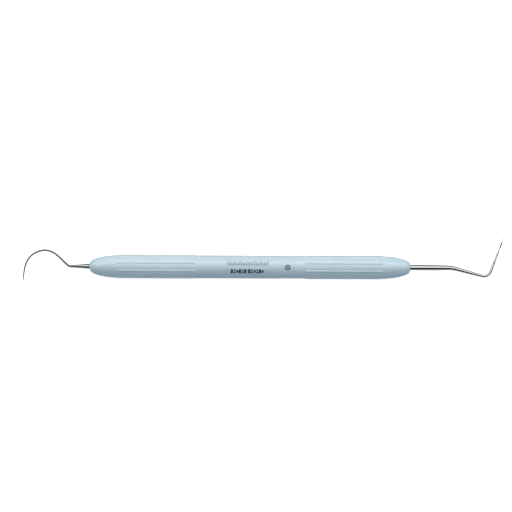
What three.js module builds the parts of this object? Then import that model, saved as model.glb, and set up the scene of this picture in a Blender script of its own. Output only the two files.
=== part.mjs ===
// Double-ended periodontal probe: a ribbed silicone handle with a shepherd's-hook explorer
// at one end and a graduated, ball-ended depth probe at the other.
//
// Millimetres, +Z up. +X runs along the handle towards the depth probe, +Y is the side that the
// probe's working end points to. The origin is the middle of the handle's length, on the surface
// that the instrument lies on: it rests on the two lowest ribs of each grip zone.

import * as THREE from "three";
import { mergeVertices } from "three/addons/utils/BufferGeometryUtils.js";

// ---------------------------------------------------------------- driving dimensions

// handle
const HANDLE_HALF = 58.05; // half the handle's length, nose to nose
const BODY_R = 4.17; // radius of the smooth barrel
const RIB_COUNT = 9; // ribs round the barrel, in each grip zone
const RIB_FIRST_DEG = 20; // first rib, from straight up
const RIB_HEIGHT = 0.15;
const RIB_BASE_W = 0.64;
const RIB_TOP_W = 0.24;
const RIB_X0 = 20.1; // grip zones, from the middle of the handle
const RIB_X1 = 47.9;
const RIB_RAMP = 0.12; // length of the steep square end of a rib
const WAIST_DEPTH = 0.08; // shallow waist just before the probe-side grip zone

// nose of the handle: [distance from its end face, radius]
const NOSE = [
  [0.0, 1.2], [0.08, 1.45], [0.25, 1.75], [0.5, 2.04], [0.85, 2.31], [1.3, 2.56], [1.9, 2.81], [2.7, 3.07],
  [3.6, 3.32], [4.7, 3.56], [5.9, 3.77], [7.2, 3.94], [8.5, 4.06], [9.9, 4.13], [11.8, BODY_R],
];

// inside the handle
const CLEAR = 0.03; // radial clearance between nested pieces
const SHANK_HOLE_R = 0.96; // hole in the nose that the shank comes out of
const NOSE_WALL = 1.2; // silicone left in front of the plug
const PLUG_NECK_R = 1.82;
const PLUG_FLANGE_R = 2.7;
const PLUG_FLANGE_X = 5.6; // flange, from the nose's end face
const PLUG_FLANGE_T = 0.6;
const PLUG_BODY_L = 10.0; // length pressed into the tube
const TUBE_OUT_R = 2.75;
const TUBE_IN_R = 2.15;
const TANG_L = 13.0; // tang inside the handle, from the nose's end face

// explorer
const EXPLORER_SHANK_R = 0.9;
// centreline of the hook from the thin end of the shank to the point: [x, y]
const HOOK = [
  [-63.9, 0], [-64.6, -0.04], [-65.2, -0.02], [-65.79, 0.22], [-66.52, 0.79], [-67.6, 1.83], [-68.69, 2.88],
  [-69.78, 3.86], [-70.87, 4.66], [-71.95, 5.24], [-73.04, 5.62], [-74.13, 5.76], [-75.22, 5.7], [-76.31, 5.46],
  [-77.39, 5.05], [-78.48, 4.45], [-79.5, 3.63], [-80.27, 2.74], [-80.86, 1.68], [-81.32, 0.6], [-81.65, -0.6],
  [-81.88, -1.9], [-82.04, -3.2], [-82.16, -4.5], [-82.25, -5.8],
];
// radius of the tip by the distance along its centreline from the nose's end face: [distance, radius]
const EXPLORER_R = [
  [0.4, EXPLORER_SHANK_R], [1.75, 0.8], [3.25, 0.68], [4.75, 0.555], [6.0, 0.455], [6.9, 0.39], [7.7, 0.335], [8.6, 0.3],
  [10.5, 0.27], [14.0, 0.25], [18.0, 0.235], [22.5, 0.225], [27.0, 0.205], [31.0, 0.17], [33.2, 0.13], [34.6, 0.08],
  [35.4, 0.025],
];

// depth probe
const PROBE_SHANK_R = 0.925;
const PROBE_BEND_X = 73.26; // corner of the offset bend on the handle's axis
const PROBE_BEND_R = 14;
const PROBE_HEEL = [86.43, -3.45]; // corner of the heel
const PROBE_HEEL_R = 2.6;
const BALL_CENTRE = [92.5, 12.45];
const BALL_R = 0.25;
// shank radius, by x: [x, radius]
const SHANK_R = [
  [45, PROBE_SHANK_R], [68, PROBE_SHANK_R], [71.5, 0.85], [74.9, 0.72], [79.2, 0.63], [82.1, 0.56], [85.0, 0.5], [87.2, 0.475],
];
// working-end radius, by the distance from the ball's end: [distance, radius]
const WORK_R = [
  [0.4, 0.175], [0.8, 0.185], [3.5, 0.21], [5.5, 0.24], [8.5, 0.32], [11.5, 0.4], [14.2, 0.475],
];
const MARK_DEPTH = 0.06; // depth of the inlaid marks
const MARK_GAP = 0.012; // bond line under and beside them
// inlaid marks: name, first and last distance from the ball's end
const MARKS = [
  ["depth_band_3p5_5p5", 3.5, 5.5],
  ["depth_line_8p5", 8.32, 8.68],
  ["depth_line_11p5", 11.34, 11.66],
];

// height of the handle's axis: the flat crest of the lowest rib touches the surface
const CREST_R = Math.hypot(BODY_R + RIB_HEIGHT, RIB_TOP_W / 2);
const AXIS_Z = BODY_R + RIB_HEIGHT;

// ---------------------------------------------------------------- helpers

const rad = THREE.MathUtils.degToRad;

function lookup(table, x) {
  if (x <= table[0][0]) return table[0][1];
  for (let i = 1; i < table.length; i++)
    if (x <= table[i][0]) {
      const [x0, y0] = table[i - 1];
      const [x1, y1] = table[i];
      return y0 + ((y1 - y0) * (x - x0)) / (x1 - x0);
    }
  return table[table.length - 1][1];
}

// A closed surface from rings of equally many points. Each ring is an array of [x, y, z].
// loop joins the last ring to the first, otherwise both ends are capped at their mean point.
function ringSolid(rings, loop) {
  const n = rings[0].length;
  const pos = rings.flat(2);
  const idx = [];
  const last = loop ? rings.length : rings.length - 1;
  for (let i = 0; i < last; i++) {
    const a = i * n;
    const b = ((i + 1) % rings.length) * n;
    for (let j = 0; j < n; j++) {
      const k = (j + 1) % n;
      idx.push(a + j, a + k, b + k, a + j, b + k, b + j);
    }
  }
  if (!loop)
    for (const [ring, base, flip] of [[rings[0], 0, true], [rings[rings.length - 1], (rings.length - 1) * n, false]]) {
      const c = pos.length / 3;
      const m = [0, 1, 2].map((k) => ring.reduce((s, p) => s + p[k], 0) / n);
      pos.push(...m);
      for (let j = 0; j < n; j++) {
        const k = (j + 1) % n;
        idx.push(...(flip ? [base + k, base + j, c] : [base + j, base + k, c]));
      }
    }
  const g = new THREE.BufferGeometry();
  g.setAttribute("position", new THREE.Float32BufferAttribute(pos, 3));
  g.setIndex(idx);
  const m = mergeVertices(g, 1e-4);
  m.computeVertexNormals();
  return m;
}

// A round bar swept along a centreline in a plane parallel to XY: stations are {x, y, tx, ty, r}.
function bar(stations, sides) {
  const rings = stations.map(({ x, y, tx, ty, r }) =>
    Array.from({ length: sides }, (_, j) => {
      const a = (2 * Math.PI * j) / sides;
      const c = r * Math.cos(a);
      return [x - ty * c, y + tx * c, r * Math.sin(a)];
    }),
  );
  return ringSolid(rings, false);
}

// A turned piece about X: the closed profile is [x, radius] points.
function turned(profile, segments) {
  const g = new THREE.LatheGeometry(
    [...profile, profile[0]].map(([x, r]) => new THREE.Vector2(r, x)),
    segments,
  );
  g.rotateZ(-Math.PI / 2);
  return g;
}

const steel = (color, roughness) => new THREE.MeshStandardMaterial({ color, roughness, metalness: 1 });
const silicone = new THREE.MeshStandardMaterial({ color: 0xb7c9d2, roughness: 0.45, metalness: 0 });
const polished = steel(0xd4d6d8, 0.12);
const tubeSteel = steel(0xb5b8ba, 0.35);
const plugSteel = steel(0xc2c4c6, 0.3);
const black = new THREE.MeshStandardMaterial({ color: 0x151515, roughness: 0.6, metalness: 0 });

const assembly = new THREE.Group();
const handle = new THREE.Group(); // everything lies on the handle's axis
handle.position.set(0, 0, AXIS_Z);
assembly.add(handle);

function add(name, geometry, material) {
  const mesh = new THREE.Mesh(geometry, material);
  mesh.name = name;
  handle.add(mesh);
  return mesh;
}

// ---------------------------------------------------------------- grip sleeve

// radius of the barrel between the ribs, at a point along the handle
function bodyRadius(x) {
  const fromEnd = HANDLE_HALF - Math.abs(x);
  const nose = lookup(NOSE, fromEnd);
  const w = Math.max(0, 1 - ((x - 15.5) / 6.5) ** 2);
  return nose - WAIST_DEPTH * w * w * (3 - 2 * w);
}

// the angles round the barrel, from straight up towards -Y, and whether each is on a rib's crest
const angles = [];
for (let i = 0; i < RIB_COUNT; i++) {
  const c = rad(RIB_FIRST_DEG) + (2 * Math.PI * i) / RIB_COUNT;
  const wb = RIB_BASE_W / 2 / BODY_R;
  const wt = Math.atan2(RIB_TOP_W / 2, BODY_R + RIB_HEIGHT);
  angles.push({ a: c - wb }, { a: c - wt, crest: true }, { a: c + wt, crest: true }, { a: c + wb });
  const gap = (2 * Math.PI) / RIB_COUNT - 2 * wb;
  for (const f of [1 / 3, 2 / 3]) angles.push({ a: c + wb + f * gap });
}
const around = (x, r, rib) =>
  angles.map(({ a, crest }) => {
    const q = crest && rib ? CREST_R : r;
    return [x, -q * Math.sin(a), q * Math.cos(a)];
  });

const outside = [];
for (const [d] of NOSE) outside.push([HANDLE_HALF - d, false]);
outside.push([RIB_X1, false], [RIB_X1 - RIB_RAMP, true], [RIB_X0 + RIB_RAMP, true], [RIB_X0, false]);
outside.push([18.6, false], [17, false], [15.5, false], [14, false], [12.4, false], [10.5, false], [9, false]);
outside.push([-RIB_X0, false], [-RIB_X0 - RIB_RAMP, true], [-RIB_X1 + RIB_RAMP, true], [-RIB_X1, false]);
for (const [d] of [...NOSE].reverse()) outside.push([-HANDLE_HALF + d, false]);
outside.sort((p, q) => q[0] - p[0]);

const sleeveRings = outside.map(([x, rib]) => around(x, bodyRadius(x), rib));
const E = HANDLE_HALF;
const NECK_BORE_R = PLUG_NECK_R + CLEAR;
const TUBE_BORE_R = TUBE_OUT_R + CLEAR;
const CHAMBER_X = E - PLUG_FLANGE_X + CLEAR; // where the bore widens for the flange and the tube
for (const [x, r] of [
  [-E, SHANK_HOLE_R], [-E + NOSE_WALL, SHANK_HOLE_R], [-E + NOSE_WALL, NECK_BORE_R], [-CHAMBER_X, NECK_BORE_R],
  [-CHAMBER_X, TUBE_BORE_R], [CHAMBER_X, TUBE_BORE_R], [CHAMBER_X, NECK_BORE_R], [E - NOSE_WALL, NECK_BORE_R],
  [E - NOSE_WALL, SHANK_HOLE_R], [E, SHANK_HOLE_R],
])
  sleeveRings.push(around(x, r, false));
add("grip_sleeve", ringSolid(sleeveRings.reverse(), true), silicone);

// ---------------------------------------------------------------- core tube and end plugs

const TUBE_HALF = E - PLUG_FLANGE_X - PLUG_FLANGE_T - CLEAR;
add(
  "core_tube",
  turned(
    [[-TUBE_HALF, TUBE_IN_R], [-TUBE_HALF, TUBE_OUT_R], [TUBE_HALF, TUBE_OUT_R], [TUBE_HALF, TUBE_IN_R]],
    36,
  ),
  tubeSteel,
);

function plug(name, side) {
  const flange = E - PLUG_FLANGE_X;
  const profile = [
    [E - NOSE_WALL - CLEAR, SHANK_HOLE_R], [E - NOSE_WALL - CLEAR, PLUG_NECK_R - 0.25],
    [E - NOSE_WALL - CLEAR - 0.25, PLUG_NECK_R], [flange, PLUG_NECK_R], [flange, PLUG_FLANGE_R],
    [flange - PLUG_FLANGE_T, PLUG_FLANGE_R], [flange - PLUG_FLANGE_T, TUBE_IN_R - CLEAR],
    [flange - PLUG_FLANGE_T - PLUG_BODY_L + 0.4, TUBE_IN_R - CLEAR],
    [flange - PLUG_FLANGE_T - PLUG_BODY_L, TUBE_IN_R - CLEAR - 0.4],
    [flange - PLUG_FLANGE_T - PLUG_BODY_L, SHANK_HOLE_R],
  ];
  const mesh = add(name, turned(profile.reverse(), 28), plugSteel);
  if (side < 0) mesh.rotation.z = Math.PI; // the same plug, turned end for end
  return mesh;
}
plug("explorer_end_plug", -1);
plug("probe_end_plug", 1);

// ---------------------------------------------------------------- explorer tip

{
  const stations = [];
  const R = EXPLORER_SHANK_R;
  stations.push({ x: -E + TANG_L, y: 0, tx: -1, ty: 0, r: R - 0.2 });
  stations.push({ x: -E + TANG_L - 0.2, y: 0, tx: -1, ty: 0, r: R });
  for (const d of [0.4, 1.75, 3.25, 4.75]) stations.push({ x: -E - d, y: 0, tx: -1, ty: 0, r: lookup(EXPLORER_R, d) });
  const curve = new THREE.CatmullRomCurve3(
    HOOK.map(([x, y]) => new THREE.Vector3(x, y, 0)),
    false,
    "centripetal",
  );
  curve.arcLengthDivisions = 800;
  const L = curve.getLength();
  const before = -E - HOOK[0][0]; // straight shank before the curve starts
  const scale = (EXPLORER_R[EXPLORER_R.length - 1][0] - before) / L; // the table ends at the point
  const N = 48;
  for (let i = 0; i <= N; i++) {
    const p = curve.getPointAt(i / N);
    const t = curve.getTangentAt(i / N);
    stations.push({ x: p.x, y: p.y, tx: t.x, ty: t.y, r: lookup(EXPLORER_R, before + (scale * L * i) / N) });
  }
  add("explorer_tip", bar(stations, 14), polished);
}

// ---------------------------------------------------------------- depth probe tip

// Straight lines through the corners, with each corner rounded to its radius: pieces of centreline
// as functions of the distance along them.
function roundedRoute(corners, radii) {
  const out = [];
  let from = new THREE.Vector2(...corners[0]);
  for (let i = 1; i < corners.length; i++) {
    const c = new THREE.Vector2(...corners[i]);
    const d0 = c.clone().sub(new THREE.Vector2(...corners[i - 1])).normalize();
    if (i === corners.length - 1) {
      out.push({ line: true, from, to: c, d: d0 });
      break;
    }
    const d1 = new THREE.Vector2(...corners[i + 1]).sub(c).normalize();
    const turn = Math.atan2(d0.x * d1.y - d0.y * d1.x, d0.dot(d1));
    const t = radii[i] * Math.tan(Math.abs(turn) / 2);
    const a = c.clone().addScaledVector(d0, -t);
    out.push({ line: true, from, to: a, d: d0 });
    const s = Math.sign(turn);
    const centre = new THREE.Vector2(a.x - d0.y * s * radii[i], a.y + d0.x * s * radii[i]);
    out.push({ arc: true, centre, start: a, turn, d: d0 });
    from = c.clone().addScaledVector(d1, t);
  }
  return out;
}

const route = roundedRoute(
  [[E - TANG_L, 0], [PROBE_BEND_X, 0], PROBE_HEEL, BALL_CENTRE],
  [0, PROBE_BEND_R, PROBE_HEEL_R],
);
const work = route[route.length - 1]; // the straight working end

{
  const stations = [];
  const shankAt = (p, d) => stations.push({ x: p.x, y: p.y, tx: d.x, ty: d.y, r: lookup(SHANK_R, p.x) });
  route.slice(0, -1).forEach((piece, k) => {
    if (piece.line) {
      const steps = k === 0 ? 3 : 4;
      for (let i = 0; i < steps; i++) shankAt(piece.from.clone().lerp(piece.to, i / steps), piece.d);
    } else {
      const steps = k === 1 ? 4 : 12;
      for (let i = 0; i < steps; i++) {
        const a = (piece.turn * i) / steps;
        shankAt(
          piece.start.clone().rotateAround(piece.centre, a),
          piece.d.clone().rotateAround(new THREE.Vector2(), a),
        );
      }
    }
  });
  stations[0].r -= 0.2;
  stations.splice(1, 0, { ...stations[0], x: stations[0].x + 0.2, r: PROBE_SHANK_R });
  const length = work.from.distanceTo(work.to) + BALL_R; // from the heel to the ball's end
  const at = (d, r) => {
    const p = work.to.clone().addScaledVector(work.d, BALL_R - d);
    stations.push({ x: p.x, y: p.y, tx: work.d.x, ty: work.d.y, r });
  };
  const list = [[length, 0.475], [13.0, lookup(WORK_R, 13.0)]];
  for (const [, a, b] of [...MARKS].reverse()) {
    for (const [d, cut] of [[b, 0], [b - 0.002, MARK_DEPTH], [a + 0.002, MARK_DEPTH], [a, 0]])
      list.push([d, lookup(WORK_R, d) - cut]);
  }
  list.push([2.0, lookup(WORK_R, 2.0)], [0.8, lookup(WORK_R, 0.8)]);
  for (const [d, r] of list) at(d, r);
  for (const deg of [136, 110, 80, 50, 22]) at(BALL_R - BALL_R * Math.cos(rad(deg)), BALL_R * Math.sin(rad(deg)));
  add("probe_tip", bar(stations, 14), polished);
}

// ---------------------------------------------------------------- inlaid depth marks

for (const [name, a, b] of MARKS) {
  const g = MARK_GAP;
  const inner = (d) => lookup(WORK_R, d) - MARK_DEPTH + g;
  const outer = (d) => lookup(WORK_R, d);
  const ends = [a + g, b - g];
  const n = 14;
  const rings = [
    [ends[0], outer], [ends[1], outer], [ends[1], inner], [ends[0], inner],
  ].map(([d, f]) =>
    Array.from({ length: n }, (_, j) => {
      const t = (2 * Math.PI * j) / n;
      const c = f(d) * Math.cos(t);
      const p = work.to.clone().addScaledVector(work.d, BALL_R - d);
      return [p.x - work.d.y * c, p.y + work.d.x * c, f(d) * Math.sin(t)];
    }),
  );
  add(name, ringSolid(rings.reverse(), true), black);
}

export default assembly;
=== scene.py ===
import math

import bpy
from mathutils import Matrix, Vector


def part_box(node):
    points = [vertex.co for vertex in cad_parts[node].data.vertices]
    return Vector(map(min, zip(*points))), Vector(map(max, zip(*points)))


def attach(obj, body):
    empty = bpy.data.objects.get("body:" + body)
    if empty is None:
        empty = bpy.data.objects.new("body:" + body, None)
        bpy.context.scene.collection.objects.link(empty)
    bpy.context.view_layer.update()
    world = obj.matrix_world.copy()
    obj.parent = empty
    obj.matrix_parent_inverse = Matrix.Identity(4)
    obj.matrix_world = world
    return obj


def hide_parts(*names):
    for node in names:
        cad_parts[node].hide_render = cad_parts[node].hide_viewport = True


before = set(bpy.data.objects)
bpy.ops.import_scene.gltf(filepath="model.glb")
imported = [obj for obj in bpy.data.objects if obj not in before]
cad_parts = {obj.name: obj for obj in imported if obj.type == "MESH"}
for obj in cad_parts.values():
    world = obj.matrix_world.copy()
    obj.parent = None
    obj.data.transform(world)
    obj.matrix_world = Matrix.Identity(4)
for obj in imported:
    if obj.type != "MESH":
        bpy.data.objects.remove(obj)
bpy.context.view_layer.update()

MM = 0.001

# ------------------------------------------------------------------ sizes, in millimetres
# They repeat the CAD model's sizes, because the detailed pieces stand for its nodes.

sleeve_lo, sleeve_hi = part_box("grip_sleeve")
HANDLE_HALF = (sleeve_hi.x - sleeve_lo.x) / 2 / MM
BODY_R = 4.17
RIB_COUNT = 9
RIB_FIRST = math.radians(20)
RIB_HEIGHT = 0.15
RIB_BASE_W = 0.64
RIB_TOP_W = 0.24
RIB_X0, RIB_X1 = 20.1, 47.9
WAIST_DEPTH = 0.08
NOSE = [
    (0.0, 1.2), (0.08, 1.45), (0.25, 1.75), (0.5, 2.04), (0.85, 2.31), (1.3, 2.56), (1.9, 2.81), (2.7, 3.07),
    (3.6, 3.32), (4.7, 3.56), (5.9, 3.77), (7.2, 3.94), (8.5, 4.06), (9.9, 4.13), (11.8, BODY_R), (16.0, BODY_R),
]
SHANK_HOLE_R = 0.975
NOSE_WALL = 1.2
PLUG_NECK_R = 1.85
PLUG_FLANGE_X = 5.57
TUBE_BORE_R = 2.78
TANG_L = 13.0

CREST_R = math.hypot(BODY_R + RIB_HEIGHT, RIB_TOP_W / 2)
AXIS_Z = BODY_R + RIB_HEIGHT

HOOK = [
    (-63.9, 0), (-64.6, -0.04), (-65.2, -0.02), (-65.79, 0.22), (-66.52, 0.79), (-67.6, 1.83), (-68.69, 2.88),
    (-69.78, 3.86), (-70.87, 4.66), (-71.95, 5.24), (-73.04, 5.62), (-74.13, 5.76), (-75.22, 5.7), (-76.31, 5.46),
    (-77.39, 5.05), (-78.48, 4.45), (-79.5, 3.63), (-80.27, 2.74), (-80.86, 1.68), (-81.32, 0.6), (-81.65, -0.6),
    (-81.88, -1.9), (-82.04, -3.2), (-82.16, -4.5), (-82.25, -5.8),
]
EXPLORER_R = [
    (0.4, 0.9), (1.75, 0.8), (3.25, 0.69), (4.75, 0.575), (6.0, 0.48), (6.9, 0.425), (7.7, 0.39), (8.6, 0.37),
    (10.5, 0.355), (14.0, 0.34), (18.0, 0.33), (22.5, 0.315), (27.0, 0.285), (31.0, 0.24), (33.2, 0.19), (34.6, 0.12),
    (35.4, 0.03),
]
PROBE_SHANK_R = 0.96
PROBE_BEND_X, PROBE_BEND_R = 73.26, 14.0
PROBE_HEEL, PROBE_HEEL_R = (86.43, -3.45), 2.6
BALL_CENTRE, BALL_R = (92.5, 12.45), 0.25
SHANK_R = [
    (45, 0.96), (65, 0.96), (68.5, 0.925), (71.5, 0.86), (74.9, 0.73), (79.2, 0.63), (82.1, 0.56), (85.0, 0.5), (87.2, 0.475),
]
WORK_R = [(0.4, 0.175), (0.8, 0.185), (3.5, 0.21), (5.5, 0.24), (8.5, 0.32), (11.5, 0.4), (14.2, 0.475), (15.5, 0.475)]
MARK_DEPTH = 0.05
MARKS = [("depth_band_fill_3p5_5p5", "depth_band_3p5_5p5", 3.5, 5.5),
         ("depth_line_fill_8p5", "depth_line_8p5", 8.32, 8.68),
         ("depth_line_fill_11p5", "depth_line_11p5", 11.34, 11.66)]


# ------------------------------------------------------------------ small tools

def monotone(table):
    """A smooth curve through the table that never overshoots (Fritsch-Carlson)."""
    xs = [p[0] for p in table]
    ys = [p[1] for p in table]
    n = len(xs)
    d = [(ys[i + 1] - ys[i]) / (xs[i + 1] - xs[i]) for i in range(n - 1)]
    m = [d[0]] + [0.0 if d[i - 1] * d[i] <= 0 else 2 * d[i - 1] * d[i] / (d[i - 1] + d[i]) for i in range(1, n - 1)] + [d[-1]]

    def f(x):
        if x <= xs[0]:
            return ys[0]
        if x >= xs[-1]:
            return ys[-1]
        i = 0
        while x > xs[i + 1]:
            i += 1
        h = xs[i + 1] - xs[i]
        t = (x - xs[i]) / h
        return (
            (2 * t**3 - 3 * t**2 + 1) * ys[i] + (t**3 - 2 * t**2 + t) * h * m[i]
            + (-2 * t**3 + 3 * t**2) * ys[i + 1] + (t**3 - t**2) * h * m[i + 1]
        )

    return f


def smooth(t):
    t = max(0.0, min(1.0, t))
    return t * t * (3 - 2 * t)


def mesh_from_rings(name, rings, loop=False, uv=None):
    """A closed mesh from rings of equally many points in millimetres. Open ends are capped with a small fan."""
    n = len(rings[0])
    verts = [tuple(c * MM for c in p) for ring in rings for p in ring]
    faces, uvs = [], []
    last = len(rings) if loop else len(rings) - 1
    for i in range(last):
        a, b = i * n, ((i + 1) % len(rings)) * n
        for j in range(n):
            k = (j + 1) % n
            faces.append((a + j, a + k, b + k, b + j))
            if uv:
                u0, u1 = uv[i], uv[i + 1] if i + 1 < len(rings) else uv[i] + 0.1
                uvs += [(u0, j / n), (u0, (j + 1) / n), (u1, (j + 1) / n), (u1, j / n)]
    if not loop:
        for base, ring, flip in ((0, rings[0], True), ((len(rings) - 1) * n, rings[-1], False)):
            c = len(verts)
            verts.append(tuple(sum(p[k] for p in ring) / n * MM for k in range(3)))
            u = uv[0] if uv and flip else (uv[-1] if uv else 0)
            for j in range(n):
                k = (j + 1) % n
                faces.append((base + k, base + j, c) if flip else (base + j, base + k, c))
                if uv:
                    uvs += [(u, (j + 1) / n), (u, j / n), (u, 0.5)] if flip else [(u, j / n), (u, (j + 1) / n), (u, 0.5)]
    me = bpy.data.meshes.new(name)
    me.from_pydata(verts, [], faces)
    if uv:
        layer = me.uv_layers.new(name="along")
        for k, c in enumerate(uvs):
            layer.data[k].uv = c
    me.update()
    for p in me.polygons:
        p.use_smooth = True
    ob = bpy.data.objects.new(name, me)
    bpy.context.scene.collection.objects.link(ob)
    return ob


def outward(ob):
    """Turns the faces out if they point in, by the mesh's signed volume."""
    me = ob.data
    v = 0.0
    for p in me.polygons:
        c = [me.vertices[i].co for i in p.vertices]
        for i in range(1, len(c) - 1):
            v += c[0].dot(c[i].cross(c[i + 1]))
    if v < 0:
        me.flip_normals()
    return ob


def bar(name, stations, sides):
    """A round bar along a flat centreline: stations are (x, y, tx, ty, r), in millimetres on the handle's level."""
    rings, along, s = [], [], 0.0
    for i, (x, y, tx, ty, r) in enumerate(stations):
        if i:
            s += math.hypot(x - stations[i - 1][0], y - stations[i - 1][1])
        along.append(s / 10)
        ring = []
        for j in range(sides):
            a = 2 * math.pi * j / sides
            c = r * math.cos(a)
            ring.append((x - ty * c, y + tx * c, AXIS_Z + r * math.sin(a)))
        rings.append(ring)
    return outward(mesh_from_rings(name, rings, uv=along))


# ------------------------------------------------------------------ node materials

def new_material(name):
    m = bpy.data.materials.new(name)
    m.use_nodes = True
    nt = m.node_tree
    for n in list(nt.nodes):
        nt.nodes.remove(n)
    out = nt.nodes.new("ShaderNodeOutputMaterial")
    b = nt.nodes.new("ShaderNodeBsdfPrincipled")
    nt.links.new(b.outputs["BSDF"], out.inputs["Surface"])
    return m, nt, b


def node(nt, kind, **settings):
    n = nt.nodes.new(kind)
    for k, v in settings.items():
        if k in n.inputs.keys():
            n.inputs[k].default_value = v
        else:
            setattr(n, k, v)
    return n


def object_coords(nt, scale=(1, 1, 1)):
    tc = nt.nodes.new("ShaderNodeTexCoord")
    mp = nt.nodes.new("ShaderNodeMapping")
    mp.inputs["Scale"].default_value = scale
    nt.links.new(tc.outputs["Object"], mp.inputs["Vector"])
    return mp.outputs["Vector"]


def noise(nt, vector, scale, detail=3.0, rough=0.55, distortion=0.0):
    n = nt.nodes.new("ShaderNodeTexNoise")
    n.inputs["Scale"].default_value = scale
    n.inputs["Detail"].default_value = detail
    n.inputs["Roughness"].default_value = rough
    n.inputs["Distortion"].default_value = distortion
    nt.links.new(vector, n.inputs["Vector"])
    return n


def ramp(nt, fac, stops):
    r = nt.nodes.new("ShaderNodeValToRGB")
    el = r.color_ramp.elements
    while len(el) > 1:
        el.remove(el[-1])
    el[0].position, el[0].color = stops[0][0], (*stops[0][1], 1)
    for pos, col in stops[1:]:
        e = el.new(pos)
        e.color = (*col, 1)
    nt.links.new(fac, r.inputs["Fac"])
    return r.outputs["Color"]


def remap(nt, value, lo, hi, to_lo, to_hi):
    r = nt.nodes.new("ShaderNodeMapRange")
    r.inputs["From Min"].default_value = lo
    r.inputs["From Max"].default_value = hi
    r.inputs["To Min"].default_value = to_lo
    r.inputs["To Max"].default_value = to_hi
    nt.links.new(value, r.inputs["Value"])
    return r.outputs["Result"]


def bump(nt, height, strength, distance, normal=None):
    b = nt.nodes.new("ShaderNodeBump")
    b.inputs["Strength"].default_value = strength
    b.inputs["Distance"].default_value = distance
    nt.links.new(height, b.inputs["Height"])
    if normal is not None:
        nt.links.new(normal, b.inputs["Normal"])
    return b.outputs["Normal"]


def silicone_material():
    m, nt, b = new_material("satin_silicone")
    b.inputs["Specular IOR Level"].default_value = 0.5
    b.inputs["Subsurface Weight"].default_value = 0.12
    b.inputs["Subsurface Radius"].default_value = (0.5, 0.8, 1.0)
    b.inputs["Subsurface Scale"].default_value = 0.0008
    co = object_coords(nt)
    cloud = noise(nt, co, 90.0, 3.0, 0.5)
    fine = noise(nt, co, 1400.0, 2.0, 0.6)
    colour = ramp(nt, cloud.outputs["Fac"], [(0.3, (0.418, 0.548, 0.634)), (0.7, (0.442, 0.574, 0.660))])
    mix = nt.nodes.new("ShaderNodeMix")
    mix.data_type = "RGBA"
    mix.blend_type = "MULTIPLY"
    mix.inputs["Factor"].default_value = 0.10
    nt.links.new(colour, mix.inputs["A"])
    nt.links.new(ramp(nt, fine.outputs["Fac"], [(0.35, (0.80, 0.83, 0.86)), (0.65, (1, 1, 1))]), mix.inputs["B"])
    nt.links.new(mix.outputs["Result"], b.inputs["Base Color"])
    nt.links.new(remap(nt, cloud.outputs["Fac"], 0.3, 0.7, 0.22, 0.27), b.inputs["Roughness"])
    grain = noise(nt, co, 5200.0, 2.0, 0.6)
    n1 = bump(nt, grain.outputs["Fac"], 0.10, 0.00002)
    n2 = bump(nt, fine.outputs["Fac"], 0.12, 0.00004, n1)
    nt.links.new(n2, b.inputs["Normal"])
    return m


def steel_material(name, base, rough_lo, rough_hi, along_scale, strength):
    """Drawn or turned steel inside the handle: fine lines from its own coordinates."""
    m, nt, b = new_material(name)
    b.inputs["Metallic"].default_value = 1.0
    lines = noise(nt, object_coords(nt, along_scale), 1.0, 4.0, 0.6)
    lo = tuple(c * 0.94 for c in base)
    nt.links.new(ramp(nt, lines.outputs["Fac"], [(0.3, lo), (0.7, base)]), b.inputs["Base Color"])
    nt.links.new(remap(nt, lines.outputs["Fac"], 0.25, 0.75, rough_lo, rough_hi), b.inputs["Roughness"])
    nt.links.new(bump(nt, lines.outputs["Fac"], strength, 0.00001), b.inputs["Normal"])
    return m


def tip_material(name, zones, lines_scale=(3.0, 46.0, 1.0)):
    """Steel whose tone and roughness change along the bar. The tone steps are painted light: painted shade where it is
    darker, a painted reflection where it is near-white. The roughness steps are its finish. zones: (distance along in
    mm, reflectance, roughness).
    """
    m, nt, b = new_material(name)
    b.inputs["Metallic"].default_value = 1.0
    u = nt.nodes.new("ShaderNodeUVMap")
    u.uv_map = "along"
    sep = nt.nodes.new("ShaderNodeSeparateXYZ")
    nt.links.new(u.outputs["UV"], sep.inputs["Vector"])
    mp = nt.nodes.new("ShaderNodeMapping")
    mp.inputs["Scale"].default_value = lines_scale
    nt.links.new(u.outputs["UV"], mp.inputs["Vector"])
    lines = noise(nt, mp.outputs["Vector"], 1.0, 4.0, 0.6)
    along = remap(nt, sep.outputs["X"], 0.0, 6.0, 0.0, 1.0)
    # painted shade and painted reflection: the steel's tone, stepped along the bar
    tone = ramp(nt, along, [(d / 60, (v * 0.975, v, v * 1.03)) for d, v, _ in zones])
    rough = ramp(nt, along, [(d / 60, (r, r, r)) for d, _, r in zones])
    fine = ramp(nt, lines.outputs["Fac"], [(0.3, (0.92, 0.92, 0.93)), (0.7, (1, 1, 1))])
    mix = nt.nodes.new("ShaderNodeMix")
    mix.data_type = "RGBA"
    mix.blend_type = "MULTIPLY"
    mix.inputs["Factor"].default_value = 1.0
    nt.links.new(tone, mix.inputs["A"])
    nt.links.new(fine, mix.inputs["B"])
    nt.links.new(mix.outputs["Result"], b.inputs["Base Color"])
    mul = nt.nodes.new("ShaderNodeMath")
    mul.operation = "MULTIPLY"
    nt.links.new(rough, mul.inputs[0])
    nt.links.new(remap(nt, lines.outputs["Fac"], 0.3, 0.7, 0.8, 1.2), mul.inputs[1])
    nt.links.new(mul.outputs["Value"], b.inputs["Roughness"])
    nt.links.new(bump(nt, lines.outputs["Fac"], 0.05, 0.00001), b.inputs["Normal"])
    return m


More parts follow.
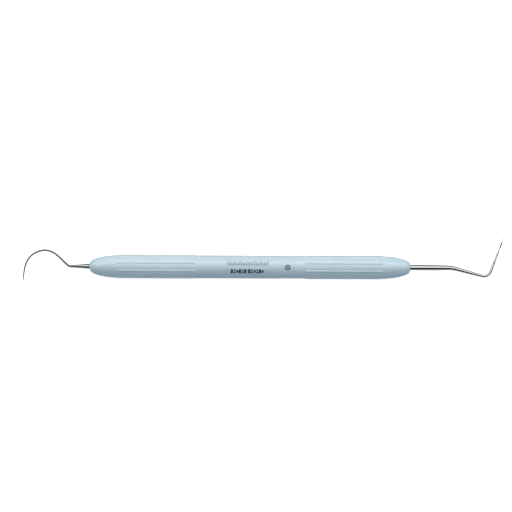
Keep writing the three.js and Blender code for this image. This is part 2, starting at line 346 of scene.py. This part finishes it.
def mark_material():
    m, nt, b = new_material("black_mark_fill")
    b.inputs["Specular IOR Level"].default_value = 0.35
    co = object_coords(nt)
    grain = noise(nt, co, 9000.0, 3.0, 0.6)
    nt.links.new(ramp(nt, grain.outputs["Fac"], [(0.3, (0.006, 0.006, 0.007)), (0.7, (0.018, 0.018, 0.019))]), b.inputs["Base Color"])
    nt.links.new(remap(nt, grain.outputs["Fac"], 0.3, 0.7, 0.42, 0.6), b.inputs["Roughness"])
    nt.links.new(bump(nt, grain.outputs["Fac"], 0.25, 0.00001), b.inputs["Normal"])
    return m


def ink_material(name, dark, light):
    """Printed ink: a little uneven, with the silicone's tone coming through."""
    m, nt, b = new_material(name)
    b.inputs["Specular IOR Level"].default_value = 0.4
    co = object_coords(nt)
    patch = noise(nt, co, 2600.0, 3.0, 0.6)
    nt.links.new(ramp(nt, patch.outputs["Fac"], [(0.35, dark), (0.7, light)]), b.inputs["Base Color"])
    nt.links.new(remap(nt, patch.outputs["Fac"], 0.3, 0.7, 0.45, 0.6), b.inputs["Roughness"])
    nt.links.new(bump(nt, patch.outputs["Fac"], 0.2, 0.00001), b.inputs["Normal"])
    return m


def use(ob, material):
    ob.data.materials.clear()
    ob.data.materials.append(material)
    return ob


SILICONE = silicone_material()
# distances run from the end of the tang inside the handle, whose nose is at 13 mm. The tone steps are painted light:
# the hook's darker steel at its neck and along its wire is painted shade, and the probe's near-white tip is a painted
# reflection.
HOOK_STEEL_WITH_PAINTED_SHADE = tip_material("hook_steel_painted_shade", [(0, 0.34, 0.05), (15.0, 0.30, 0.05), (19.5, 0.14, 0.12), (50, 0.14, 0.16)])
PROBE_STEEL_WITH_PAINTED_REFLECTION = tip_material("probe_steel_painted_reflection", [(0, 0.38, 0.05), (36, 0.38, 0.06), (43, 0.44, 0.20), (53.5, 0.50, 0.28), (55.5, 0.88, 0.38), (60, 0.90, 0.38)])
TUBE = steel_material("drawn_tube_steel", (0.62, 0.62, 0.63), 0.25, 0.4, (60.0, 2600.0, 2600.0), 0.25)
TURNED = steel_material("turned_steel", (0.66, 0.66, 0.67), 0.2, 0.38, (9000.0, 60.0, 60.0), 0.25)
MARK = mark_material()
INK_DARK = ink_material("print_ink_dark", (0.014, 0.040, 0.062), (0.032, 0.070, 0.100))
INK_GREY = ink_material("print_ink_grey", (0.10, 0.14, 0.17), (0.17, 0.22, 0.26))

# ------------------------------------------------------------------ handle

nose_r = monotone(NOSE)


def waist(x):
    w = max(0.0, 1 - ((x - 15.5) / 6.5) ** 2)
    return WAIST_DEPTH * smooth(w)


def body_radius(x):
    return nose_r(HANDLE_HALF - abs(x)) - waist(x)


def rib_profile():
    """Half of a rib's section as (distance from its middle, share of its height): sloping flanks with small fillets."""
    top, base = RIB_TOP_W / 2, RIB_BASE_W / 2
    slope = base - top
    f = 0.045  # length of each fillet along the surface
    out = [(base + f * 1.3, 0.0), (base + f * 0.6, 0.015), (base, 0.075), (base - f * 0.5, 0.16)]
    out += [(top + slope * k, 1 - k) for k in (0.72, 0.5, 0.28)]
    out += [(top + f * 0.5, 0.86), (top, 0.94), (top - f * 0.6, 0.985), (top - f * 1.3, 1.0)]
    return out


def around_angles():
    """Angles from straight up towards -Y. Each is (angle, share of the rib's height), denser at the ribs' flanks."""
    half = [(d / (BODY_R + h * RIB_HEIGHT), h) for d, h in rib_profile()]
    rib = [(-a, h) for a, h in half] + [(0.0, 1.0)] + [(a, h) for a, h in reversed(half)]
    pitch, edge = 2 * math.pi / RIB_COUNT, half[0][0]
    out = []
    for i in range(RIB_COUNT):
        c = RIB_FIRST + pitch * i
        out += [(c + a, h) for a, h in rib]
        out += [(c + edge + (pitch - 2 * edge) * k / 11, 0.0) for k in range(1, 11)]
    return out


ANGLES = around_angles()
TOP_R = BODY_R + RIB_HEIGHT


def rib_share(x):
    """How far up the rib stands at x: square ends with a small radius."""
    ax = abs(x)
    if ax <= RIB_X0 - 0.06 or ax >= RIB_X1 + 0.06:
        return 0.0
    d = min(ax - RIB_X0, RIB_X1 - ax)
    return smooth((d + 0.06) / 0.24)


def sleeve_ring(x):
    r, s = body_radius(x), rib_share(x)
    ring = []
    for a, h in ANGLES:
        q = r + (TOP_R - r) * h * s
        ring.append((x, -q * math.sin(a), AXIS_Z + q * math.cos(a)))
    return ring


def plain_ring(x, r):
    return [(x, -r * math.sin(a), AXIS_Z + r * math.cos(a)) for a, _ in ANGLES]


xs = []
E = HANDLE_HALF
for i in range(13):  # the nose's rounded edge, then its long taper
    xs.append(E - 0.3 * (i / 12) ** 1.6)
xs += [E - d for d in (0.38, 0.48, 0.6, 0.75, 0.92, 1.12, 1.35, 1.6, 1.9, 2.25, 2.65, 3.1, 3.6, 4.15, 4.75, 5.4, 6.1, 6.9, 7.7, 8.6, 9.3)]
for c in (RIB_X1, RIB_X0):
    xs += [c + k for k in (0.3, 0.06, 0.03, 0.0, -0.03, -0.06, -0.09, -0.12, -0.15, -0.18, -0.3)] if c == RIB_X1 else \
          [c - k for k in (0.3, 0.06, 0.03, 0.0, -0.03, -0.06, -0.09, -0.12, -0.15, -0.18, -0.3)]
xs += [47 - 1.5 * k for k in range(0, 18)]
xs += [19.3 - 0.7 * k for k in range(0, 28)]
xs = sorted({round(x, 4) for x in xs if x > 0.2}, reverse=True)
xs = xs + [0.0] + [-x for x in reversed(xs)]

rings = [sleeve_ring(x) for x in xs]
# the end face's inner edge, the shank hole and the stepped bore inside
bore = [
    (-E, SHANK_HOLE_R + 0.05), (-E + 0.05, SHANK_HOLE_R), (-E + NOSE_WALL, SHANK_HOLE_R), (-E + NOSE_WALL, PLUG_NECK_R),
    (-E + PLUG_FLANGE_X, PLUG_NECK_R), (-E + PLUG_FLANGE_X, TUBE_BORE_R), (E - PLUG_FLANGE_X, TUBE_BORE_R),
    (E - PLUG_FLANGE_X, PLUG_NECK_R), (E - NOSE_WALL, PLUG_NECK_R), (E - NOSE_WALL, SHANK_HOLE_R),
    (E - 0.05, SHANK_HOLE_R), (E, SHANK_HOLE_R + 0.05),
]
rings += [plain_ring(x, r) for x, r in bore]
sleeve = outward(mesh_from_rings("grip_sleeve_skin", rings, loop=True))
use(sleeve, SILICONE)
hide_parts("grip_sleeve")
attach(sleeve, "root")

# ------------------------------------------------------------------ explorer tip


def catmull(points, per):
    """Points along a centripetal Catmull-Rom curve."""
    pts = [Vector((x, y)) for x, y in points]
    pts = [pts[0] * 2 - pts[1]] + pts + [pts[-1] * 2 - pts[-2]]
    out = []
    for i in range(1, len(pts) - 2):
        p0, p1, p2, p3 = pts[i - 1 : i + 3]
        t0 = 0.0
        t1 = t0 + max((p1 - p0).length, 1e-6) ** 0.5
        t2 = t1 + max((p2 - p1).length, 1e-6) ** 0.5
        t3 = t2 + max((p3 - p2).length, 1e-6) ** 0.5
        for k in range(per):
            t = t1 + (t2 - t1) * k / per
            a1 = p0 * ((t1 - t) / (t1 - t0)) + p1 * ((t - t0) / (t1 - t0))
            a2 = p1 * ((t2 - t) / (t2 - t1)) + p2 * ((t - t1) / (t2 - t1))
            a3 = p2 * ((t3 - t) / (t3 - t2)) + p3 * ((t - t2) / (t3 - t2))
            b1 = a1 * ((t2 - t) / (t2 - t0)) + a2 * ((t - t0) / (t2 - t0))
            b2 = a2 * ((t3 - t) / (t3 - t1)) + a3 * ((t - t1) / (t3 - t1))
            out.append(b1 * ((t2 - t) / (t2 - t1)) + b2 * ((t - t1) / (t2 - t1)))
    out.append(pts[-2])
    return out


def with_tangents(points):
    out = []
    for i, p in enumerate(points):
        a, b = points[max(i - 1, 0)], points[min(i + 1, len(points) - 1)]
        d = (b - a).normalized()
        out.append((p.x, p.y, d.x, d.y))
    return out


explorer_r = monotone(EXPLORER_R)
line = [Vector((-E + TANG_L - 0.2 * k, 0)) for k in (1, 2)]
line += [Vector((-x, 0)) for x in (46, 48, 50, 52, 54, 56, 57, 57.6)]
line += [Vector((-E - 0.25 * k, 0)) for k in range(0, 23)]
line += catmull(HOOK, 8)
# two light passes round off the joins between measured points
for _ in range(6):
    line = [line[0]] + [(line[i - 1] + line[i] * 2 + line[i + 1]) / 4 if line[i].x < -E - 3 else line[i] for i in range(1, len(line) - 1)] + [line[-1]]
stations, s = [(-E + TANG_L, 0.0, -1.0, 0.0, 0.7)], 0.0
total = 0.0
lengths = [0.0]
for i in range(1, len(line)):
    lengths.append(lengths[-1] + (line[i] - line[i - 1]).length)
start = next(L for L, p in zip(lengths, line) if p.x <= -E)
scale = EXPLORER_R[-1][0] / (lengths[-1] - start)
for (x, y, tx, ty), L in zip(with_tangents(line), lengths):
    stations.append((x, y, tx, ty, explorer_r(max(0.0, (L - start) * scale))))
x, y, tx, ty, r = stations[-1]
stations.append((x + tx * 0.02, y + ty * 0.02, tx, ty, r * 0.55))
explorer = bar("explorer_tip_polished", stations, 40)
use(explorer, HOOK_STEEL_WITH_PAINTED_SHADE)
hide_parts("explorer_tip")
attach(explorer, "root")

# ------------------------------------------------------------------ depth probe tip

shank_r, work_r = monotone(SHANK_R), monotone(WORK_R)


def rounded_route(corners, radii):
    out = []
    start_at = Vector(corners[0])
    for i in range(1, len(corners)):
        c = Vector(corners[i])
        d0 = (c - Vector(corners[i - 1])).normalized()
        if i == len(corners) - 1:
            out.append(("line", start_at, c, d0))
            break
        d1 = (Vector(corners[i + 1]) - c).normalized()
        turn = math.atan2(d0.x * d1.y - d0.y * d1.x, d0.dot(d1))
        t = radii[i] * math.tan(abs(turn) / 2)
        a = c - d0 * t
        out.append(("line", start_at, a, d0))
        s_ = math.copysign(1, turn)
        centre = Vector((a.x - d0.y * s_ * radii[i], a.y + d0.x * s_ * radii[i]))
        out.append(("arc", a, centre, turn, d0))
        start_at = c + d1 * t
    return out


def turned_by(v, a):
    return Vector((v.x * math.cos(a) - v.y * math.sin(a), v.x * math.sin(a) + v.y * math.cos(a)))


route = rounded_route(
    [(E - TANG_L, 0.0), (PROBE_BEND_X, 0.0), PROBE_HEEL, BALL_CENTRE], [0, PROBE_BEND_R, PROBE_HEEL_R, 0]
)
_, work_from, work_to, work_d = route[-1]
stations = [(E - TANG_L, 0.0, 1.0, 0.0, PROBE_SHANK_R - 0.2), (E - TANG_L + 0.2, 0.0, 1.0, 0.0, PROBE_SHANK_R)]
for piece in route[:-1]:
    if piece[0] == "line":
        _, p0, p1, d = piece
        steps = max(6, int((p1 - p0).length / 0.6))
        for i in range(1 if len(stations) == 2 else 0, steps):
            p = p0.lerp(p1, i / steps)
            if p.x > E - TANG_L + 0.4:
                stations.append((p.x, p.y, d.x, d.y, shank_r(p.x)))
    else:
        _, a, centre, turn, d = piece
        steps = 40
        for i in range(steps):
            p = centre + turned_by(a - centre, turn * i / steps)
            t = turned_by(d, turn * i / steps)
            stations.append((p.x, p.y, t.x, t.y, shank_r(p.x)))


def on_work(d):
    """The point on the working end's axis that is d from the ball's end."""
    return work_to + work_d * (BALL_R - d)


work_length = (work_to - work_from).length + BALL_R
ds = {round(work_length - 0.02 - 0.25 * k, 4): 0.0 for k in range(int((work_length - 0.75) / 0.25))}
for _, _, a, b in MARKS:
    for d in list(ds):
        if a - 0.03 < d < b + 0.03:
            del ds[d]
    for d, cut in ((b + 0.02, 0.0), (b + 0.004, 0.0), (b, 0.006), (b - 0.004, MARK_DEPTH), (a + 0.004, MARK_DEPTH), (a, 0.006), (a - 0.004, 0.0), (a - 0.02, 0.0)):
        ds[round(d, 4)] = cut
for d in sorted(ds, reverse=True):
    if d > 0.62:
        p = on_work(d)
        stations.append((p.x, p.y, work_d.x, work_d.y, work_r(d) - ds[d]))
# a short fillet runs the wire into the ball
for d, r in ((0.60, 0.177), (0.55, 0.177), (0.50, 0.180), (0.465, 0.189)):
    p = on_work(d)
    stations.append((p.x, p.y, work_d.x, work_d.y, r))
for deg in (128, 118, 108, 98, 88, 78, 68, 58, 48, 38, 28, 18, 9):
    p = on_work(BALL_R - BALL_R * math.cos(math.radians(deg)))
    stations.append((p.x, p.y, work_d.x, work_d.y, BALL_R * math.sin(math.radians(deg))))
probe = bar("probe_tip_polished", stations, 40)
use(probe, PROBE_STEEL_WITH_PAINTED_REFLECTION)
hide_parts("probe_tip")
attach(probe, "root")

# ------------------------------------------------------------------ depth marks, as rings of black filling

for name, cad, a, b in MARKS:
    g, rings, n = 0.008, [], 48
    section = [
        (a + g, -0.004), (a + g + 0.006, 0.001), (a + g + 0.02, 0.002), ((a + b) / 2, 0.002), (b - g - 0.02, 0.002), (b - g - 0.006, 0.001), (b - g, -0.004),
        (b - g, -MARK_DEPTH + 0.006), (a + g, -MARK_DEPTH + 0.006),
    ]
    for d, dr in section:
        p, r = on_work(d), work_r(d) + dr
        rings.append([
            (p.x - work_d.y * r * math.cos(t), p.y + work_d.x * r * math.cos(t), AXIS_Z + r * math.sin(t))
            for t in (2 * math.pi * j / n for j in range(n))
        ])
    ring = outward(mesh_from_rings(name, rings, loop=True))
    use(ring, MARK)
    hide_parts(cad)
    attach(ring, "root")

# ------------------------------------------------------------------ print on the handle
# A generic depth-scale pictogram in place of lettering. Each stroke is a thin pad of ink
# wrapped on the barrel: a flat outline in (x, arc) millimetres, lifted by the ink's thickness.

INK_T = 0.018


def wrap(x, arc, lift):
    q = body_radius(x) + lift
    a = -arc / BODY_R  # arc is positive towards +Y
    return tuple(c * MM for c in (x, -q * math.sin(a), AXIS_Z + q * math.cos(a)))


def ink_mesh(name, shapes, material):
    """Each shape is a grid of (x, arc) points, n across by m along, closed along if ring is true."""
    verts, faces = [], []
    for grid, ring in shapes:
        n, m = len(grid[0]), len(grid)
        base = len(verts)
        for lift in (-0.012, INK_T):
            for row in grid:
                verts += [wrap(px_, arc, lift) for px_, arc in row]
        top = base + n * m

        def quad(i, j, k, l):
            faces.append((i, j, k, l))

        last = m if ring else m - 1
        for i in range(last):
            i2 = (i + 1) % m
            for j in range(n - 1):
                quad(top + i * n + j, top + i2 * n + j, top + i2 * n + j + 1, top + i * n + j + 1)
                quad(base + i * n + j, base + i * n + j + 1, base + i2 * n + j + 1, base + i2 * n + j)
            quad(base + i * n, base + i2 * n, top + i2 * n, top + i * n)
            quad(base + i2 * n + n - 1, base + i * n + n - 1, top + i * n + n - 1, top + i2 * n + n - 1)
        if not ring:
            for j in range(n - 1):
                quad(base + j, top + j, top + j + 1, base + j + 1)
                e = (m - 1) * n
                quad(base + e + j + 1, top + e + j + 1, top + e + j, base + e + j)
    me = bpy.data.meshes.new(name)
    me.from_pydata(verts, [], faces)
    me.update()
    ob = bpy.data.objects.new(name, me)
    bpy.context.scene.collection.objects.link(ob)
    outward(ob)
    use(ob, material)
    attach(ob, "root")
    return ob


def stroke(x0, a0, x1, a1, w):
    """A straight stroke of width w between two points, cut finely enough to follow the barrel."""
    p, q = Vector((x0, a0)), Vector((x1, a1))
    n = Vector((-(q - p).y, (q - p).x)).normalized() * (w / 2)
    m = max(2, int((q - p).length / 0.22) + 1)
    k = max(2, int(w / 0.22) + 1)
    return [[tuple(p + (q - p) * (i / (m - 1)) + n * (1 - 2 * j / (k - 1))) for j in range(k)] for i in range(m)], False


def ring(cx, ca, r_out, r_in, steps=40):
    k = max(2, int((r_out - r_in) / 0.15) + 1)
    return [
        [(cx + (r_in + (r_out - r_in) * j / (k - 1)) * math.cos(t), ca + (r_in + (r_out - r_in) * j / (k - 1)) * math.sin(t)) for j in range(k)]
        for t in (2 * math.pi * i / steps for i in range(steps))
    ], True


def diamond(cx, ca, w, h):
    """A solid diamond as a grid between its two upper and its two lower edges."""
    grid = []
    for i in range(9):
        u = -1 + 2 * i / 8
        half = max(0.02, (1 - abs(u)) * h / 2)
        grid.append([(cx + u * w / 2, ca + half * (1 - 2 * j / 6)) for j in range(7)])
    return grid, False


# upper line: a fine graduated scale, long and short ticks standing on a hairline
shapes = []
for i in range(25):
    x = -7.95 + 0.6 * i
    shapes.append(stroke(x, 0.80, x, 2.45 if i % 4 == 0 else 1.75, 0.25))
shapes.append(stroke(-8.05, 0.72, 6.55, 0.72, 0.16))
ink_mesh("print_fine_scale", shapes, INK_GREY)

# lower line: a bold depth pictogram, solid blocks, paired bars and diamonds in turn
shapes = []
x = -6.95
for kind in "BpdBpB BpdpBd":
    if kind == "B":
        shapes.append(stroke(x + 0.4, -0.80, x + 0.4, -2.42, 0.8))
        x += 0.96
    elif kind == "p":
        shapes.append(stroke(x, -1.12, x + 0.85, -1.12, 0.42))
        shapes.append(stroke(x, -1.98, x + 0.85, -1.98, 0.62))
        x += 1.01
    elif kind == "d":
        shapes.append(diamond(x + 0.42, -1.62, 0.95, 1.5))
        x += 0.93
    else:
        x += 0.42
ink_mesh("print_bold_pictogram", shapes, INK_DARK)

# small round symbol: a ring with a dot
ink_mesh("print_ring_symbol", [ring(13.6, -0.08, 1.02, 0.64), ring(13.6, -0.08, 0.34, 0.01, 24)], INK_DARK)

# ------------------------------------------------------------------ inner steel, seen only when taken apart

use(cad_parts["core_tube"], TUBE)
use(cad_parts["explorer_end_plug"], TURNED)
use(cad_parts["probe_end_plug"], TURNED)

# ------------------------------------------------------------------ floor, lights and camera


def flat(name, size, z):
    s_ = size / 2
    me = bpy.data.meshes.new(name)
    me.from_pydata([(-s_, -s_, z), (s_, -s_, z), (s_, s_, z), (-s_, s_, z)], [], [(0, 1, 2, 3)])
    ob = bpy.data.objects.new(name, me)
    bpy.context.scene.collection.objects.link(ob)
    return ob


# the pale table that the object's underside is lit from
table = flat("table_bounce", 6.0, -0.00003)
m, nt, b = new_material("pale_table")
b.inputs["Base Color"].default_value = (0.82, 0.86, 0.90, 1)
b.inputs["Roughness"].default_value = 0.9
b.inputs["Specular IOR Level"].default_value = 0.1
table.data.materials.append(m)
table.visible_camera = False
table.visible_glossy = False

# the over-exposed white sweep that the camera sees: a floor that rises into a wall far away
rings, n = [], 48
for r, z in [(0.0001, 0)] + [(k, 0) for k in (0.3, 1.0, 2.0, 3.0)] + [(3 + 1.5 * math.sin(math.radians(t)), 1.5 - 1.5 * math.cos(math.radians(t))) for t in (15, 30, 45, 60, 75, 90)] + [(4.5, 6.0)]:
    rings.append([(r * math.cos(2 * math.pi * j / n) / MM, r * math.sin(2 * math.pi * j / n) / MM, z / MM - 0.02) for j in range(n)])
verts = [tuple(c * MM for c in p) for ring in rings for p in ring]
faces = [(i * n + j, i * n + (j + 1) % n, (i + 1) * n + (j + 1) % n, (i + 1) * n + j) for i in range(len(rings) - 1) for j in range(n)]
me = bpy.data.meshes.new("floor")
me.from_pydata(verts, [], faces)
for p in me.polygons:
    p.use_smooth = True
sweep = bpy.data.objects.new("floor", me)
bpy.context.scene.collection.objects.link(sweep)
m, nt, b = new_material("white_sweep")
b.inputs["Base Color"].default_value = (0.35, 0.35, 0.35, 1)
b.inputs["Roughness"].default_value = 1.0
b.inputs["Specular IOR Level"].default_value = 0.0
b.inputs["Emission Color"].default_value = (1, 1, 1, 1)
b.inputs["Emission Strength"].default_value = 0.94
me.materials.append(m)
for flag in ("visible_diffuse", "visible_glossy", "visible_transmission", "visible_shadow", "visible_volume_scatter"):
    setattr(sweep, flag, False)


def area(name, size_x, size_y, where, target, radiance, colour=(1, 1, 1)):
    d = bpy.data.lights.new(name, "AREA")
    d.shape = "RECTANGLE"
    d.size, d.size_y = size_x, size_y
    d.energy = radiance * math.pi * size_x * size_y
    d.color = colour
    ob = bpy.data.objects.new(name, d)
    bpy.context.scene.collection.objects.link(ob)
    ob.location = where
    ob.rotation_mode = "QUATERNION"
    ob.rotation_quaternion = (Vector(where) - Vector(target)).to_track_quat("Z", "Y")
    ob.visible_camera = False
    return ob


# key: a long soft box on the +Y side, KEY_FROM to KEY_TO degrees off the vertical
KEY_D, KEY_FROM, KEY_TO = 1.5, 27, 66
key_a = math.radians((KEY_FROM + KEY_TO) / 2)
area("key_softbox", 6.0, 2 * KEY_D * math.tan(math.radians((KEY_TO - KEY_FROM) / 2)),
     (0, KEY_D * math.sin(key_a), KEY_D * math.cos(key_a)), (0, 0, 0), 3.05, (1.0, 0.94, 0.88))
# fill: a wide, dimmer overhead sheet, from 27 degrees on the +Y side to the vertical
TOP_Z, TOP_Y0, TOP_Y1 = 1.7, -1.7 * math.tan(math.radians(0)), 1.7 * math.tan(math.radians(27))
area("overhead_sheet", 6.0, TOP_Y1 - TOP_Y0, (0, (TOP_Y0 + TOP_Y1) / 2, TOP_Z), (0, (TOP_Y0 + TOP_Y1) / 2, 0), 1.58, (0.95, 1.0, 1.05))

# the room around: its tone by the angle off the vertical, negative on the +Y side
SHADE, BLACK, SIDE, LOW = (0.02, 0.02, 0.02), (0.006, 0.006, 0.006), (0.95, 1.08, 1.16), (0.60, 0.71, 0.79)
ROOM = [(-180, SHADE), (-76, SHADE), (-2, SHADE), (0, BLACK), (68, BLACK), (71, SIDE), (90, SIDE), (94, LOW), (165, LOW), (180, SHADE)]
world = bpy.data.worlds.new("studio")
bpy.context.scene.world = world
world.use_nodes = True
wt = world.node_tree
bg = wt.nodes["Background"]
tc = wt.nodes.new("ShaderNodeTexCoord")
sep = wt.nodes.new("ShaderNodeSeparateXYZ")
wt.links.new(tc.outputs["Generated"], sep.inputs["Vector"])
neg = wt.nodes.new("ShaderNodeMath")
neg.operation = "MULTIPLY"
neg.inputs[1].default_value = -1.0
wt.links.new(sep.outputs["Y"], neg.inputs[0])
at = wt.nodes.new("ShaderNodeMath")
at.operation = "ARCTAN2"
wt.links.new(neg.outputs["Value"], at.inputs[0])
wt.links.new(sep.outputs["Z"], at.inputs[1])
mr = wt.nodes.new("ShaderNodeMapRange")
mr.inputs["From Min"].default_value = -math.pi
mr.inputs["From Max"].default_value = math.pi
wt.links.new(at.outputs["Value"], mr.inputs["Value"])
tone = ramp(wt, mr.outputs["Result"], [((a_ + 180) / 360, v) for a_, v in ROOM])
wt.links.new(tone, bg.inputs["Color"])
bg.inputs["Strength"].default_value = 1.0

SCALE = 0.3625 * MM  # metres for each of 512 parts of the frame's width
ROLL = math.radians(0.2516)
DIST = 1.0
cam_d = bpy.data.cameras.new("camera")
cam = bpy.data.objects.new("camera", cam_d)
bpy.context.scene.collection.objects.link(cam)
cam_d.sensor_width = 36.0
cam_d.lens = 36.0 * DIST / (512 * SCALE)
cam_d.clip_start, cam_d.clip_end = 0.01, 10
cam.location = (2.157 * MM, 4.008 * MM, AXIS_Z * MM + DIST)
cam.rotation_euler = (0, 0, ROLL)
bpy.context.scene.camera = cam

bpy.context.scene.view_settings.view_transform = "Standard"
bpy.context.scene.view_settings.look = "None"
